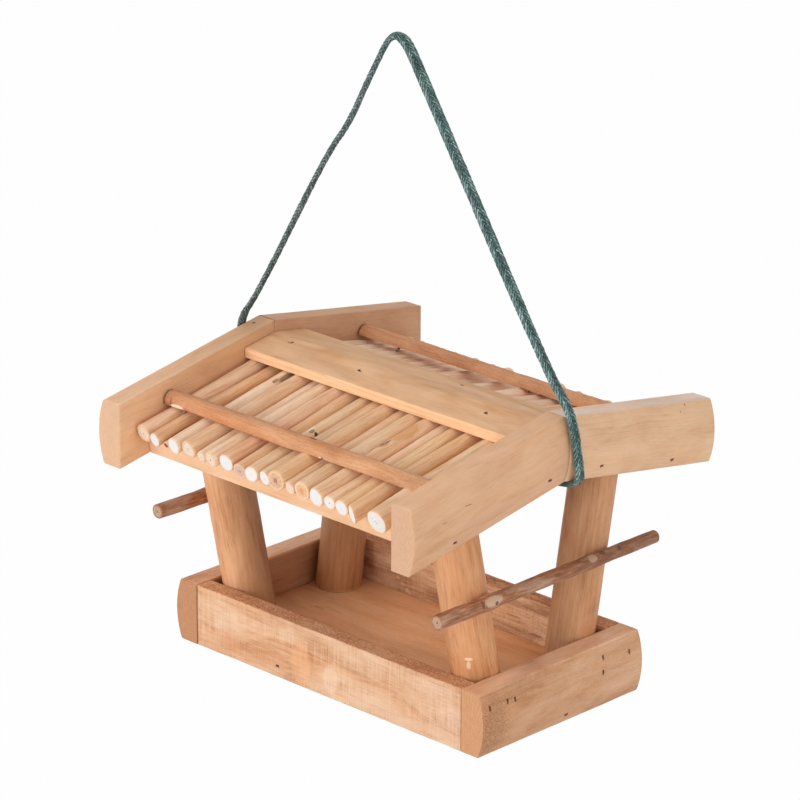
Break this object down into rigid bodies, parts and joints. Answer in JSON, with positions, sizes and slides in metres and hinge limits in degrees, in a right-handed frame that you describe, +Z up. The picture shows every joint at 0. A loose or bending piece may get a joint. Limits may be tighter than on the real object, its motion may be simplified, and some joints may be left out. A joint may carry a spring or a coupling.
{
  "type": "hanging bird table",
  "caption": "Rustic hanging bird table: nailed wooden tray, four leaning posts and a low roof of peeled sticks, hung from one loop of cord.",
  "frame": {"origin": "middle of the tray's underside", "axes": "+X along the ridge to the right gable seen from the front, -Y to the front long side, +Z up to the ridge and the hook"},
  "size_m": [0.2624, 0.2452, 0.3819],
  "materials": {
    "tray_pine": "planed, oiled",
    "peeled_pine": "peeled, satin",
    "post_wood": "peeled, satin",
    "batten_wood": "peeled, satin",
    "stick_wood": "peeled, streaky",
    "bark_wood": "bark on",
    "brad_wire": "blued wire",
    "cord_fabric": "flat braid"
  },
  "bodies": {
    "hanger": {"hanging_cord": "cord_fabric"},
    "table": {"back_batten": "batten_wood", "back_eave_rail": "tray_pine", "back_left_bargeboard": "peeled_pine", "back_left_post": "post_wood", "back_ridge_rail": "tray_pine", "back_right_bargeboard": "peeled_pine", "back_right_post": "post_wood", "back_sticks_01": "stick_wood", "back_sticks_02": "stick_wood", "back_sticks_03": "stick_wood", "back_sticks_04": "stick_wood", "back_sticks_05": "stick_wood", "back_sticks_06": "stick_wood", "back_sticks_07": "stick_wood", "back_sticks_08": "stick_wood", "back_sticks_09": "stick_wood", "back_sticks_10": "stick_wood", "back_wall": "tray_pine", "batten_brads": "brad_wire", "brad_nails": "brad_wire", "cord_knot": "cord_fabric", "cord_under_roof": "cord_fabric", "floor_panel": "tray_pine", "front_batten": "batten_wood", "front_eave_rail": "tray_pine", "front_left_bargeboard": "peeled_pine", "front_left_post": "post_wood", "front_ridge_rail": "tray_pine", "front_right_bargeboard": "peeled_pine", "front_right_post": "post_wood", "front_stick_01": "stick_wood", "front_stick_02": "stick_wood", "front_stick_03": "stick_wood", "front_stick_04": "stick_wood", "front_stick_05": "stick_wood", "front_stick_06": "stick_wood", "front_stick_07": "stick_wood", "front_stick_08": "stick_wood", "front_stick_09": "stick_wood", "front_stick_10": "stick_wood", "front_stick_11": "stick_wood", "front_stick_12": "stick_wood", "front_stick_13": "stick_wood", "front_stick_14": "stick_wood", "front_stick_15": "stick_wood", "front_stick_16": "stick_wood", "front_stick_17": "stick_wood", "front_stick_18": "stick_wood", "front_stick_19": "stick_wood", "front_stick_20": "stick_wood", "front_stick_21": "stick_wood", "front_wall": "tray_pine", "left_end_board": "tray_pine", "left_perch": "bark_wood", "ridge_cap": "peeled_pine", "right_end_board": "tray_pine", "right_perch": "bark_wood"}
  },
  "joints": [
    {"name": "table_swing", "type": "hinge", "parent": "hanger", "child": "table", "pos_m": [0, 0, 0.14221], "axis": [0.9987, 0.0514, 0], "range_deg": [-20, 20]}
  ]
}
